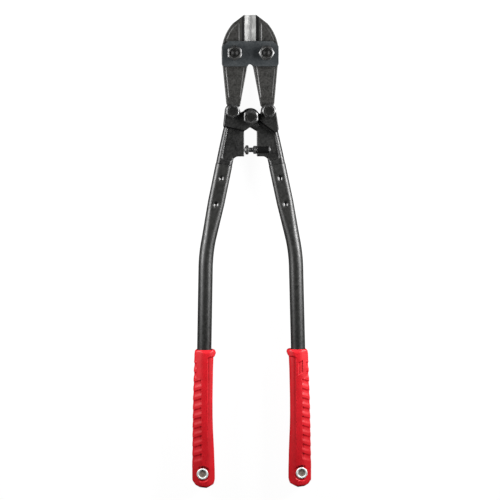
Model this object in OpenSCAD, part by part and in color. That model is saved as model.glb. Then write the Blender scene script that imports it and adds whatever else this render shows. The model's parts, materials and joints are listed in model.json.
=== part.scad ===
// Long-handled centre-cut bolt cutters, closed and lying flat.
// The jaws point along +Y, the halves mirror each other about X = 0, and Z = 0 is the
// face that the tool rests on. A half is described on its own side, with +X outward.

/* [Overall] */
// Length from the jaw tips to the grip ends
overall_l = 758; // [752:1:764]
// Height of the cutting plane above the rest face
mid_z = 18; // [17.8:0.1:19]

/* [Head] */
// Thickness of each jaw
jaw_t = 15; // [14:0.1:15]
// Distance of each strap bolt from the centreline
strap_bolt_x = 25.5; // [25.3:0.1:25.7]
// Distance of the strap bolts behind the jaw tips
strap_bolt_back = 61; // [60:0.5:62]
// Radius of the outer edge of the head, about the opposite strap bolt
head_r = 71; // [70:0.5:71.5]
// Width across the ground cutting bevel of one jaw
bevel_w = 8.9; // [8:0.1:9.5]
// Height of the ground bevel above the cutting plane
bevel_h = 5; // [4:0.1:5.5]
// Gap between each cutting edge and the centreline where the jaws meet
edge_gap = 0.15; // [0.1:0.01:0.2]
// The same gap near the tips, where the edges are relieved
tip_gap = 0.4; // [0.3:0.05:0.5]

/* [Straps] */
// Width of the strap plates
strap_w = 90; // [88:0.5:90]
// Length of the strap plates along the tool
strap_l = 40.4; // [40:0.1:42]
// Thickness of each strap plate
strap_t = 4.6; // [4:0.1:4.8]

/* [Linkage] */
// Distance of each jaw bolt from the centreline
pin_x = 29; // [28.8:0.1:29.2]
// Distance of the jaw bolts behind the strap bolts
pin_back = 92.4; // [92:0.1:93]
// Distance of the centre bolt behind the jaw bolts
centre_back = 9.6; // [9.4:0.1:9.8]
// Radius of the oversize hole in the tongue of the right arm
tongue_bore_r = 9.8; // [9.7:0.05:10]

/* [Fasteners] */
// Diameter of the five bolts
bolt_d = 14; // [13.5:0.1:14]
// Width across the flats of the strap and centre nuts and heads
nut_af = 22; // [21:0.5:22]
// Width across the flats of the jaw nuts and heads
jaw_nut_af = 20; // [20:0.5:21]
// Thickness of a nut
nut_h = 8; // [7:0.1:8.2]
// Radial clearance of a turning fit
fit_gap = 0.05; // [0.03:0.01:0.08]

/* [Arms] */
// Thickness of the arms over their fork ears
fork_t = 26; // [25.6:0.1:26]
// Thickness of the arms over their rims
rim_t = 15; // [14:0.1:15]
// Thickness of the arms at the recessed web
web_t = 10; // [9.5:0.1:11]
// Distance of the stop screw behind the centre bolt
stop_back = 52.5; // [51:0.5:54]

/* [Handles] */
// Outside diameter of the handle tubes
tube_d = 23; // [22.5:0.1:23]
// Wall of the handle tubes
tube_wall = 2; // [1.8:0.1:2.2]
// Width of the flattened end of a tube
flat_w = 27; // [26.5:0.1:27]
// Thickness of the flattened end of a tube
flat_t = 16; // [15.9:0.1:16.4]
// Angle of the upper part of a tube to the centreline
upper_tilt = 11.8; // [11.6:0.1:12]
// Angle of the lower part of a tube to the centreline
lower_tilt = 1.23; // [1.2:0.01:1.3]
// Radius of the bend in a tube
bend_r = 257; // [250:1:265]
// Length of a grip
grip_l = 222.5; // [220:0.5:225]
// Number of wedge pockets along a grip
pockets = 9; // [5:1:9]

/* [Hidden] */
$fn = 64;
eps = 0.01;

// Stations along the tool
tip_y = overall_l / 2;
strap_bolt_y = tip_y - strap_bolt_back;
pin_y = strap_bolt_y - pin_back;
centre_y = pin_y - centre_back;
grip_end_y = -overall_l / 2;
strap_low = strap_bolt_y - 21.4;

// Heights measured from the cutting plane
strap_in = jaw_t / 2 + 0.2;
strap_out = strap_in + strap_t;
slot_h = jaw_t + 0.4;
tongue_t = jaw_t - 0.2;
bolt_top = 22.4;

// Radii about the pivots
pin_hub_r = 11.7;
fork_hub_r = 12.8;
tongue_r = 14.4;
pin_slot_r = 12.5;
hub_slot_r = 17.3;
tongue_relief_r = 16;

// Pin position measured from the centre bolt
pin_c = [pin_x, centre_back];
pin_dist = norm(pin_c);
pin_dir = atan2(pin_c[1], pin_c[0]);

// Handle tube: start of the seam from the centre bolt, and the stretches along its axis
seam = [42.5, -75.7];
flat_l = 62;
bend = upper_tilt - lower_tilt;
bend_start = 121.6;
lower_l = 339;
shank_l = 80;
dimples = [[22.4, 0], [64.8, 0]];
dimple_depth = 2.5;
dimple_r = 8.45;

// Rivet: distance down the lower tube from the end of its bend
rivet_s = 330.3;

black = [0.18, 0.18, 0.18];
forged = [0.26, 0.25, 0.24];
plate = [0.24, 0.25, 0.27];
red = [0.78, 0.13, 0.17];
zinc = [0.75, 0.75, 0.73];

function polar(r, a) = [r * cos(a), r * sin(a)];
// Touching point on the first of two circles, on the side given by s
function tangent(r1, r2, d, dir, s) = polar(r1, dir + s * acos((r1 - r2) / d));

module other_side() {
    mirror([1, 0, 0]) children();
}

module at_mid(h) {
    translate([0, 0, mid_z - h / 2]) linear_extrude(h) children();
}

module hex(af) {
    circle(d = af / cos(30), $fn = 6);
}

// Bolt along Z: hexagon head on the rest face, shank through to the front
module bolt(under, af = nut_af) {
    difference() {
        rotate([0, 0, 30]) linear_extrude(mid_z - under) hex(af);
        translate([0, 0, -eps]) cylinder(h = 1 + eps, d = 9);
    }
    translate([0, 0, 1]) cylinder(h = mid_z + bolt_top - 1, d = bolt_d);
}

// Nut with its corners turned off at 30 degrees
module nut(under, turn = 30, af = nut_af) {
    face_r = 0.38 * af;
    translate([0, 0, mid_z + under]) difference() {
        intersection() {
            rotate([0, 0, turn]) linear_extrude(nut_h) hex(af);
            cylinder(h = nut_h, r1 = face_r + nut_h / tan(30), r2 = face_r);
        }
        translate([0, 0, -eps]) cylinder(h = nut_h + 2 * eps, r = bolt_d / 2 + fit_gap);
    }
}

// ---- Head ----

module jaw_outline() {
    // Head, bounded outside by an arc about the opposite strap bolt and a straight nose
    intersection() {
        translate([-strap_bolt_x, strap_bolt_y]) circle(r = head_r, $fn = 180);
        polygon([
            [edge_gap, strap_bolt_y + 3.5], [edge_gap, tip_y - 26], [tip_gap, tip_y - 25],
            [tip_gap, tip_y], [9.5, tip_y], [69.5, tip_y - 45.5], [69.5, strap_low],
            [4.6, strap_low + 1]
        ]);
    }
    // Leg, tapering down to the jaw bolt
    polygon([
        [edge_gap, strap_bolt_y + 3.5], [16.7, pin_y + 8], [pin_x, pin_y - 2], [38.2, pin_y + 11.4],
        [43.5, strap_low - 2.6], [44.4, strap_low + 6], [30, strap_bolt_y]
    ]);
    translate([pin_x, pin_y]) circle(r = pin_hub_r);
}

// Recesses in one face of a jaw
module jaw_panels() {
    intersection() {
        translate([-strap_bolt_x, strap_bolt_y]) circle(r = head_r - 4.3, $fn = 180);
        polygon([
            [17.5, strap_bolt_y + 14], [17.5, tip_y - 13.5], [57, tip_y - 43.5],
            [57, strap_bolt_y + 14]
        ]);
    }
    polygon([
        [9.6, strap_low - 1], [16, pin_y + 21.4], [35.2, pin_y + 21.4], [40, strap_low - 1]
    ]);
}

module jaw() {
    panel_depth = 1;
    shoulder_w = 13.6;
    color(forged) difference() {
        at_mid(jaw_t) jaw_outline();
        // Ground bevels, meeting at the cutting edge
        for (side = [0, 1])
            translate([0, strap_bolt_y + 3.5, mid_z]) mirror([0, 0, side]) rotate([-90, 0, 0])
                linear_extrude(strap_bolt_back) mirror([0, 1, 0]) polygon([
                    [-2, -2 * bevel_h / bevel_w], [bevel_w, bevel_h], [shoulder_w, jaw_t / 2],
                    [shoulder_w, jaw_t], [-2, jaw_t]
                ]);
        for (side = [-1, 1])
            translate([0, 0, mid_z + side * jaw_t / 2 - panel_depth])
                linear_extrude(2 * panel_depth) jaw_panels();
        for (p = [[strap_bolt_x, strap_bolt_y], [pin_x, pin_y]])
            translate([p[0], p[1], 0]) cylinder(h = 2 * mid_z, r = bolt_d / 2 + fit_gap);
    }
}

module jaw_right() {
    jaw();
}

module jaw_left() {
    other_side() jaw();
}

module strap_outline() {
    half_w = strap_w / 2;
    high = strap_low + strap_l;
    corner = 5;
    difference() {
        union() {
            polygon([
                [-half_w + corner, strap_low], [half_w - corner, strap_low],
                [half_w, strap_low + corner], [half_w, high - 8], [half_w - 10, high],
                [10 - half_w, high], [-half_w, high - 8], [-half_w, strap_low + corner]
            ]);
            for (s = [-1, 1])
                translate([s * (half_w - corner), strap_low + corner]) circle(r = corner);
        }
        translate([0, strap_low - 1]) circle(r = 4.8);
        for (s = [-1, 1])
            translate([s * strap_bolt_x, strap_bolt_y]) circle(r = bolt_d / 2 + fit_gap);
    }
}

module strap_front() {
    color(plate) translate([0, 0, mid_z + strap_in]) linear_extrude(strap_t) strap_outline();
}

module strap_rear() {
    color(plate) translate([0, 0, mid_z - strap_out]) linear_extrude(strap_t) strap_outline();
}

module strap_bolt_right() {
    color(black) translate([strap_bolt_x, strap_bolt_y, 0]) bolt(strap_out);
}

module strap_bolt_left() {
    color(black) translate([-strap_bolt_x, strap_bolt_y, 0]) bolt(strap_out);
}

module strap_nut_right() {
    color(black) translate([strap_bolt_x, strap_bolt_y, 0]) nut(strap_out, 0);
}

module strap_nut_left() {
    color(black) translate([-strap_bolt_x, strap_bolt_y, 0]) nut(strap_out);
}

// ---- Arms, drawn from the centre bolt ----

module at_centre() {
    translate([0, centre_y, 0]) children();
}

// Corner of an arm where it meets the end of its tube, a hair short of it
function seam_end(side) =
    seam + polar(side * (flat_w / 2 - 0.3), upper_tilt) + polar(0.05, upper_tilt + 90);

// Web part of an arm, from its ears down to the tube seam
module arm_body_outline() {
    foot_r = 7.5;
    foot = [20.1, -70.6];
    difference() {
        polygon([
            [12, -18], [10.3, -23], [10.3, -63], [foot[0], -63], foot, [27.6, foot[1]],
            seam_end(-1), seam_end(1), [51.2, -52.8], [43.9, -20], [40, -8]
        ]);
        translate(foot) circle(r = foot_r);
    }
}

// Recess in one face of the web
module arm_panel_outline() {
    polygon([
        [14.8, -27], [14.8, -59], [27, -59], [33, -69.5], [47, -66.5], [39, -26]
    ]);
}

module arm_body() {
    difference() {
        at_mid(rim_t) arm_body_outline();
        for (side = [-1, 1])
            translate([0, 0, mid_z + side * (web_t / 2 + rim_t / 2) - rim_t / 2])
                linear_extrude(rim_t) arm_panel_outline();
    }
}

// Moves to the seam, with -Y along the upper part of the tube
module along_upper() {
    translate([seam[0], seam[1], mid_z]) rotate([0, 0, upper_tilt]) children();
}

// Moves to the end of the bend, with -Y along the lower part of the tube
module along_lower() {
    along_upper() translate([-bend_r, -bend_start, 0]) rotate([0, 0, -bend])
        translate([bend_r, 0, 0]) children();
}

module stadium(w, t) {
    for (s = [-1, 1]) translate([s * (w - t) / 2, 0]) circle(d = t, $fn = 32);
    square([w - t, t], center = true);
}

// Four crimps, two on each flat face, from a ball of radius r
module crimps(r) {
    ball_h = flat_t / 2 + dimple_r - dimple_depth;
    for (d = dimples) for (side = [-1, 1])
        translate([d[1], -d[0], side * ball_h]) sphere(r = r, $fn = 48);
}

// Shank of an arm, inside its tube, with a narrower end where the tube turns round
module shank() {
    play = 0.2;
    w = flat_w - 2 * (tube_wall + play);
    t = flat_t - 2 * (tube_wall + play);
    along_upper() difference() {
        translate([0, 4, 0]) rotate([90, 0, 0]) {
            linear_extrude(flat_l + 4) stadium(w, t);
            linear_extrude(shank_l + 4) stadium(w - 1.4, t - 0.2);
        }
        crimps(dimple_r + tube_wall + fit_gap);
    }
}

module bolt_hole(p, r) {
    translate([p[0], p[1], 0]) cylinder(h = 2.5 * mid_z, r = r);
}

// Left arm: a fork both at its jaw and at the centre bolt
module fork_outline() {
    circle(r = fork_hub_r);
    translate(pin_c) circle(r = pin_hub_r);
    polygon([
        polar(fork_hub_r, 65), polar(fork_hub_r, -125.4), [0, -15.7], [9, -21.6],
        [42, -14.2], [43.3, -14.2], pin_c + [pin_hub_r, 0], pin_c + polar(pin_hub_r, 165),
        [15.9, 7.2]
    ]);
}

// Room between the ears of the left arm for the tongue and the jaw leg
module fork_slot_outline() {
    low_c = tangent(hub_slot_r, pin_slot_r, pin_dist, pin_dir, -1);
    low_p = pin_c + low_c * pin_slot_r / hub_slot_r;
    circle(r = hub_slot_r);
    translate(pin_c) circle(r = pin_slot_r);
    polygon([low_c, low_p, low_p + (low_p - low_c) * 2, [90, 70], [-40, 70], [-40, -5]]);
}

module arm_left() {
    color(black) at_centre() other_side() {
        difference() {
            union() {
                at_mid(fork_t) fork_outline();
                arm_body();
            }
            at_mid(slot_h) fork_slot_outline();
            bolt_hole([0, 0], bolt_d / 2 + fit_gap);
            bolt_hole(pin_c, bolt_d / 2 + fit_gap);
        }
        shank();
    }
}

// Right arm: a fork at its jaw and a tongue at the centre bolt
module ear_outline() {
    difference() {
        union() {
            translate(pin_c) circle(r = pin_hub_r);
            polygon([
                pin_c - [pin_hub_r, 0], [14.4, -5.8], [38.9, -24], [43.5, -22.8], [45, -19.2],
                pin_c + [pin_hub_r, 0]
            ]);
        }
        circle(r = tongue_relief_r);
    }
}

module tongue_outline() {
    circle(r = tongue_r);
    polygon([polar(tongue_r, -121.1), [10.3, -23], [38, -23], [38, -8], [12, 7]]);
}

module arm_right() {
    bore_r = 4 + fit_gap;
    boss_x = [10.3, 32.6];
    color(black) at_centre() {
        difference() {
            union() {
                at_mid(fork_t) ear_outline();
                arm_body();
                at_mid(tongue_t) tongue_outline();
                translate([boss_x[0], -stop_back, mid_z]) rotate([0, 90, 0])
                    cylinder(h = boss_x[1] - boss_x[0], r = rim_t / 2 - 0.1);
            }
            translate([pin_c[0], pin_c[1], mid_z - slot_h / 2]) cylinder(h = slot_h, r = pin_slot_r);
            at_mid(slot_h) polygon([
                pin_c + polar(pin_slot_r, 198), pin_c + polar(pin_slot_r, -60),
                pin_c + polar(pin_slot_r, -60) + polar(40, 30), [90, 70], [-5, 70]
            ]);
            bolt_hole([0, 0], tongue_bore_r);
            bolt_hole(pin_c, bolt_d / 2 + fit_gap);
            translate([0, -stop_back, mid_z]) rotate([0, 90, 0]) cylinder(h = 42, r = bore_r);
        }
        shank();
    }
}

module centre_bolt() {
    color(black) at_centre() bolt(fork_t / 2);
}

module centre_nut() {
    color(black) at_centre() nut(fork_t / 2);
}

module jaw_bolt_right() {
    color(black) translate([pin_x, pin_y, 0]) bolt(fork_t / 2, jaw_nut_af);
}

module jaw_bolt_left() {
    color(black) translate([-pin_x, pin_y, 0]) bolt(fork_t / 2, jaw_nut_af);
}

module jaw_nut_right() {
    color(black) translate([pin_x, pin_y, 0]) nut(fork_t / 2, 0, jaw_nut_af);
}

module jaw_nut_left() {
    color(black) translate([-pin_x, pin_y, 0]) nut(fork_t / 2, af = jaw_nut_af);
}

// Stop screw along X, its head just clear of the left arm
module stop_screw() {
    head = [-9.9, -3.2];
    color(black) translate([0, centre_y - stop_back, mid_z]) rotate([0, 90, 0]) {
        translate([0, 0, head[0]]) cylinder(h = head[1] - head[0], d = 15);
        translate([0, 0, head[1] - 1]) cylinder(h = 36, d = 8);
    }
}

module stop_lock_nut() {
    thickness = 6;
    color(black) translate([10.3 - thickness, centre_y - stop_back, mid_z]) rotate([0, 90, 0])
        difference() {
            linear_extrude(thickness) hex(13);
            translate([0, 0, -eps]) cylinder(h = thickness + 2 * eps, r = 4 + fit_gap);
        }
}

// ---- Handles ----

// Tube body, w and t at the flattened end and d at the round end. Each stretch takes in the
// end of its neighbour, a hair narrower than itself, and over is extra length at both ends.
module tube_form(w, t, d, over = 0) {
    step = 0.04;
    slice = 0.1;
    round_d = (d + step) / cos(180 / 48);
    along_upper() {
        translate([0, over, 0]) rotate([90, 0, 0]) linear_extrude(flat_l + over) stadium(w, t);
        hull() {
            translate([0, 1 - flat_l, 0]) rotate([90, 0, 0]) linear_extrude(slice)
                stadium(w + 5 * step, t + 3 * step);
            translate([0, slice - bend_start, 0]) rotate([90, 0, 0])
                cylinder(h = slice, d = round_d, $fn = 48);
        }
        translate([-bend_r, -bend_start, 0]) rotate([0, 0, -bend])
            rotate_extrude(angle = bend + 0.1, $fn = 180) translate([bend_r, 0]) circle(d = d);
    }
    along_lower() translate([0, 0.3, 0]) rotate([90, 0, 0])
        cylinder(h = lower_l + 0.3 + over, d = d + step);
}

module tube() {
    inset = 2 * tube_wall;
    color(black) at_centre() difference() {
        union() {
            difference() {
                tube_form(flat_w, flat_t, tube_d);
                tube_form(flat_w - inset, flat_t - inset, tube_d - inset, 1);
            }
            // Metal pushed inward by the crimps
            along_upper() intersection() {
                crimps(dimple_r + tube_wall);
                rotate([90, 0, 0]) linear_extrude(shank_l) stadium(flat_w - 1, flat_t - 1);
            }
        }
        along_upper() crimps(dimple_r);
        along_lower() translate([0, -rivet_s, 0]) cylinder(h = 2 * tube_d, r = 5 + fit_gap, center = true);
    }
}

module tube_right() {
    tube();
}

module tube_left() {
    other_side() tube();
}

module grip_outline() {
    top = grip_end_y + grip_l;
    polygon([
        [61.5, top], [57.8, top - 1.6], [56.7, top - 5], [59.4, top - 11.5], [60.3, top - 32],
        [61.2, top - 80], [61.2, top - 128], [59.9, top - 176], [58.6, top - 200],
        [58.2, top - 209.3], [61.5, top - 217], [73.6, grip_end_y], [84, grip_end_y + 1.4],
        [91, grip_end_y + 4.8], [95.8, grip_end_y + 11.2], [95.9, top - 200], [94.9, top - 128],
        [93.9, top - 80], [92.2, top - 32], [91.4, top - 8], [90.5, top - 2], [87.5, top]
    ]);
}

module grip() {
    grip_t = 2 * mid_z;
    pitch = 14.9;
    first = grip_end_y + grip_l - 53;
    recess_r = 12.2;
    color(red) difference() {
        intersection() {
            linear_extrude(grip_t) grip_outline();
            // Cross-section, carried along the lower tube
            at_centre() along_lower() rotate([90, 0, 0]) linear_extrude(lower_l + 30)
                intersection() {
                    circle(d = 42, $fn = 96);
                    square([40, grip_t], center = true);
                }
        }
        at_centre() along_lower() {
            rotate([90, 0, 0]) cylinder(h = lower_l + 0.3, r = tube_d / 2 + fit_gap);
            translate([0, -rivet_s, 0]) cylinder(h = 2 * tube_d, r = 5 + fit_gap, center = true);
            for (side = [-1, 1]) translate([0, -rivet_s, side * mid_z])
                cylinder(h = 4, r = recess_r, center = true);
        }
        // Wedge pockets on the outer flank
        for (i = [0 : pockets - 1])
            translate([98.3, first - i * pitch, mid_z]) rotate([0, 0, -20])
                cube([8, 9, 16], center = true);
    }
}

module grip_right() {
    grip();
}

module grip_left() {
    other_side() grip();
}

// Rivet through grip and tube, with a raised ring on each face
module grip_rivet() {
    face = mid_z - 2;
    color(zinc) at_centre() along_lower() translate([0, -rivet_s, 0]) difference() {
        union() {
            cylinder(h = 2 * face, r = 5, center = true);
            for (side = [-1, 1]) translate([0, 0, side * (face + 0.75)])
                cylinder(h = 1.5, r = 9.3, center = true);
        }
        for (side = [-1, 1]) translate([0, 0, side * (face + 1.5)])
            cylinder(h = 1.6, r = 6.7, center = true);
    }
}

module grip_rivet_right() {
    grip_rivet();
}

module grip_rivet_left() {
    other_side() grip_rivet();
}

jaw_left();
jaw_right();
strap_front();
strap_rear();
strap_bolt_left();
strap_bolt_right();
strap_nut_left();
strap_nut_right();
arm_left();
arm_right();
centre_bolt();
centre_nut();
jaw_bolt_left();
jaw_bolt_right();
jaw_nut_left();
jaw_nut_right();
stop_screw();
stop_lock_nut();
tube_left();
tube_right();
grip_left();
grip_right();
grip_rivet_left();
grip_rivet_right();
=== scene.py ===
import json
import math

import bmesh
import bpy
import numpy as np
from mathutils import Matrix, Vector


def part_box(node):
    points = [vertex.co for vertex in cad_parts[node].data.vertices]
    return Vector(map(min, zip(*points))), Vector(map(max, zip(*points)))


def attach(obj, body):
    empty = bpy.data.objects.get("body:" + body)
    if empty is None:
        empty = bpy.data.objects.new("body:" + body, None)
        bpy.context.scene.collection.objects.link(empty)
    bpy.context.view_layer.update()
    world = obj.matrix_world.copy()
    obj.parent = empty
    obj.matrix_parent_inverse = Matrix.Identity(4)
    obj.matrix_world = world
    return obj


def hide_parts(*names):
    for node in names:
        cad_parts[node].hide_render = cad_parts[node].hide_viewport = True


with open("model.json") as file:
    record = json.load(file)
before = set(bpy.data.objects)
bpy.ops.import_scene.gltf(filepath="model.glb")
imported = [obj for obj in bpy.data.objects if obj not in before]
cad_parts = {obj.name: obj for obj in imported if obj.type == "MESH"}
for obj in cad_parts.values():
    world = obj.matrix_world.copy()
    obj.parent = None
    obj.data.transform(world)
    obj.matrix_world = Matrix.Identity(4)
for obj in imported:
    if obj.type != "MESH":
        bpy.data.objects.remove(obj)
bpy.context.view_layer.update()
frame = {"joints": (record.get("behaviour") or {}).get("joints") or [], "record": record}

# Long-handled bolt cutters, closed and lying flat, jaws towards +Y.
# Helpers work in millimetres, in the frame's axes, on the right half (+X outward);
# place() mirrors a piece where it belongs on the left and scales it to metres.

MM = 0.001


# ---- Places that the frame gives ----

def box_mm(node):
    """Lowest and highest corner of a CAD node, in millimetres."""
    low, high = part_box(node)
    return low / MM, high / MM


def pivot_mm(joint):
    """Pivot of a joint, in millimetres."""
    row = next(j for j in frame["joints"] if j["name"] == joint)
    return Vector(row["pos_m"]) / MM


STRAP = pivot_mm("jaw_right_hinge")
PIN = pivot_mm("handle_right")
CENTRE = sum(box_mm("centre_bolt"), Vector()) / 2
MID_Z = STRAP.z
TIP_Y = box_mm("jaw_right")[1].y
GRIP_END = box_mm("grip_right")[0].y
GRIP_TOP = box_mm("grip_right")[1].y
STRAP_LOW, STRAP_HIGH = box_mm("strap_front")

BOLT_R = 7.0
HOLE_R = BOLT_R + 0.1
FORGED_HALF, FORK_HALF, TONGUE_HALF, GAP_HALF = 7.5, 13, 7.4, 7.7
PIN_EAR_R, PIN_ROOM_R = 11.7, 12.5


# ---- Plane figures, as signed distances: negative inside ----

def circle(centre, radius):
    return lambda x, y: np.hypot(x - centre[0], y - centre[1]) - radius


def polygon(points):
    """Signed distance to a closed polygon."""
    p = np.array(points, float)

    def distance(x, y):
        best = np.full(np.broadcast(x, y).shape, 1e18)
        inside = np.zeros(best.shape, bool)
        for (ax, ay), (bx, by) in zip(p, np.roll(p, -1, axis=0)):
            ex, ey = bx - ax, by - ay
            wx, wy = x - ax, y - ay
            t = np.clip((wx * ex + wy * ey) / (ex * ex + ey * ey), 0, 1)
            best = np.minimum(best, (wx - t * ex) ** 2 + (wy - t * ey) ** 2)
            crosses = (ay > y) != (by > y)
            rise = ey if ey else 1e-12
            inside ^= crosses & (x < ex * (y - ay) / rise + ax)
        return np.sqrt(best) * np.where(inside, -1, 1)

    return distance


def union(*shapes):
    """What any of the shapes covers."""
    return lambda x, y: np.minimum.reduce([s(x, y) for s in shapes])


def common(*shapes):
    """What all of the shapes cover."""
    return lambda x, y: np.maximum.reduce([s(x, y) for s in shapes])


def without(shape, *holes):
    return lambda x, y: np.maximum.reduce([shape(x, y)] + [-h(x, y) for h in holes])


def beyond(p, q):
    """Distance past the line from p to q, on its right-hand side."""
    (px, py), (qx, qy) = p, q
    long = math.hypot(qx - px, qy - py)
    return lambda x, y: ((qy - py) * (x - px) - (qx - px) * (y - py)) / long


# ---- Solids, as signed distances ----

def smooth_max(a, b, k):
    """The larger of two distances, with the crease between them rounded over k."""
    h = np.maximum(k - np.abs(a - b), 0) / k
    return np.maximum(a, b) + h * h * k / 4


def smooth_min(a, b, k):
    """The smaller of two distances, with the notch between them filled over k."""
    return -smooth_max(-a, -b, k)


def slab(shape, half, edge=1.0):
    """The figure as a plate about the cutting plane, its outer edges rounded."""

    def distance(x, y, z):
        across, over = shape(x, y) + edge, np.abs(z - MID_Z) - half + edge
        out = np.hypot(np.maximum(across, 0), np.maximum(over, 0))
        return out + np.minimum(np.maximum(across, over), 0) - edge

    return distance


def drafted(shape, half, edge, wall, draft):
    """A slab cut off at wall, where its side leans out on the way down to the middle."""

    def distance(x, y, z):
        lean = wall(x, y) - (half - np.abs(z - MID_Z)) * draft
        return smooth_max(slab(shape, half, edge)(x, y, z), lean / math.hypot(1, draft), edge)

    return distance


def recess(shape, floor, slope):
    """Cuts both faces down to floor from the cutting plane, with sloped sides."""
    lean = math.tan(math.radians(slope))

    def distance(x, y, z):
        side = floor + np.maximum(shape(x, y), 0) * lean
        return (np.abs(z - MID_Z) - side) * math.cos(math.radians(slope))

    return distance


def mesh_from_distance(name, distance, low, high, step):
    """Closed mesh of a signed distance's zero surface, one vertex in each cell it crosses."""
    axes = [np.arange(a - 2 * step, b + 2 * step, step) for a, b in zip(low, high)]
    x, y, z = np.meshgrid(*axes, indexing="ij", sparse=True)
    d = np.broadcast_to(distance(x, y, z), [len(a) for a in axes])
    inside = d < 0
    corners = [(i, j, k) for i in (0, 1) for j in (0, 1) for k in (0, 1)]
    cells = tuple(n - 1 for n in d.shape)

    def at(values, corner):
        return values[tuple(slice(c, c + n) for c, n in zip(corner, cells))]

    total = np.zeros(cells + (3,), np.float32)
    count = np.zeros(cells, np.int8)
    for a in corners:
        for axis in range(3):
            if a[axis]:
                continue
            b = tuple(1 if i == axis else v for i, v in enumerate(a))
            da, db = at(d, a), at(d, b)
            crossed = at(inside, a) != at(inside, b)
            t = np.where(crossed, da / np.where(crossed, da - db, 1), 0)
            for i in range(3):
                total[..., i] += np.where(crossed, a[i] + (t if i == axis else 0), 0)
            count += crossed
    used = count > 0
    index = np.full(cells, -1, np.int64)
    index[used] = np.arange(used.sum())
    where = np.argwhere(used)
    points = (where + total[used] / count[used][:, None]) * step
    points += np.array([a[0] for a in axes])
    faces = []
    for axis in range(3):
        u, v = (axis + 1) % 3, (axis + 2) % 3
        lower = [slice(1, n - 1) for n in d.shape]
        lower[axis] = slice(0, cells[axis])
        upper = list(lower)
        upper[axis] = slice(1, cells[axis] + 1)
        a, b = inside[tuple(lower)], inside[tuple(upper)]
        for flip, hit in ((False, a & ~b), (True, ~a & b)):
            cell = np.argwhere(hit)
            cell[:, u] += 1
            cell[:, v] += 1
            ring = []
            for du, dv in ((0, 0), (-1, 0), (-1, -1), (0, -1)):
                c = cell.copy()
                c[:, u] += du
                c[:, v] += dv
                ring.append(index[c[:, 0], c[:, 1], c[:, 2]])
            faces.append(np.stack(ring[::-1] if flip else ring, axis=1))
    return quad_mesh(name, points, np.concatenate(faces))


# ---- Meshes ----

def quad_mesh(name, points, quads):
    """Object with a mesh of four-sided faces."""
    mesh = bpy.data.meshes.new(name)
    mesh.vertices.add(len(points))
    mesh.vertices.foreach_set("co", np.asarray(points, np.float32).ravel())
    mesh.loops.add(quads.size)
    mesh.loops.foreach_set("vertex_index", quads.astype(np.int32).ravel())
    mesh.polygons.add(len(quads))
    mesh.polygons.foreach_set("loop_start", np.arange(0, quads.size, 4, dtype=np.int32))
    mesh.update(calc_edges=True)
    mesh.validate()
    return add_object(name, mesh)


def add_object(name, mesh):
    obj = bpy.data.objects.new(name, mesh)
    bpy.context.scene.collection.objects.link(obj)
    return obj


def prism(name, points, low, high):
    """Upright prism over a polygon given anticlockwise."""
    n = len(points)
    verts = [(x, y, low) for x, y in points] + [(x, y, high) for x, y in points]
    faces = [list(range(n))[::-1], list(range(n, 2 * n))]
    faces += [[i, (i + 1) % n, n + (i + 1) % n, n + i] for i in range(n)]
    mesh = bpy.data.meshes.new(name)
    mesh.from_pydata(verts, [], faces)
    return add_object(name, mesh)


def arc(centre, radius, start, end, steps=12):
    """Points along an arc, angles in degrees."""
    turns = np.radians(np.linspace(start, end, steps + 1))
    return [(centre[0] + radius * math.cos(a), centre[1] + radius * math.sin(a)) for a in turns]


def lathe(name, profile, steps=96, closed=False):
    """Solid turned about Z from (radius, height) points, rising from axis to axis.

    A radius or height may be an array of steps values round the axis. A closed profile is
    a loop that stays off the axis, as a ring's is.
    """
    angles = np.arange(steps) / steps * 2 * math.pi
    rings = [np.stack([r * np.cos(angles), r * np.sin(angles), z + 0 * angles], axis=1)
             for r, z in profile]
    faces = []
    for i in range(len(rings) if closed else len(rings) - 1):
        low, high = i * steps, (i + 1) % len(rings) * steps
        faces += [[low + j, low + (j + 1) % steps, high + (j + 1) % steps, high + j]
                  for j in range(steps)]
    mesh = bpy.data.meshes.new(name)
    mesh.from_pydata(np.concatenate(rings), [], faces)
    obj = add_object(name, mesh)
    edit(obj, lambda bm: bmesh.ops.remove_doubles(bm, verts=bm.verts, dist=1e-4))
    return obj


def edit(obj, change):
    """Runs change on obj's mesh as a bmesh and writes it back with outward faces."""
    bm = bmesh.new()
    bm.from_mesh(obj.data)
    change(bm)
    bmesh.ops.recalc_face_normals(bm, faces=bm.faces)
    bm.to_mesh(obj.data)
    bm.free()


def turn(obj, matrix):
    """Moves a mesh itself, so that the object stays at the origin."""
    obj.data.transform(matrix)
    return obj


def apply_modifiers(obj):
    """Makes what the modifiers show the object's own mesh."""
    graph = bpy.context.evaluated_depsgraph_get()
    mesh = bpy.data.meshes.new_from_object(obj.evaluated_get(graph))
    obj.modifiers.clear()
    obj.data = mesh
    return obj


def cut(obj, tool):
    """Cuts one solid out of another; the tool's materials come over to the faces it makes."""
    step = obj.modifiers.new("cut", "BOOLEAN")
    step.operation = "DIFFERENCE"
    step.object = tool
    step.solver = "EXACT"
    step.material_mode = "TRANSFER"
    apply_modifiers(obj)
    bpy.data.objects.remove(tool)


def even(obj, weight):
    """Smooth shading; the higher weight, the flatter the large faces look."""
    obj.data.polygons.foreach_set("use_smooth", [True] * len(obj.data.polygons))
    obj.modifiers.new("even", "WEIGHTED_NORMAL").weight = weight
    return apply_modifiers(obj)


def soften(obj, width):
    """Rounds the sharp edges of a solid."""
    step = obj.modifiers.new("soften", "BEVEL")
    step.width = width
    step.segments = 3
    step.limit_method = "ANGLE"
    step.angle_limit = math.radians(30)
    step.miter_outer = "MITER_ARC"
    return even(obj, 100)


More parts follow.
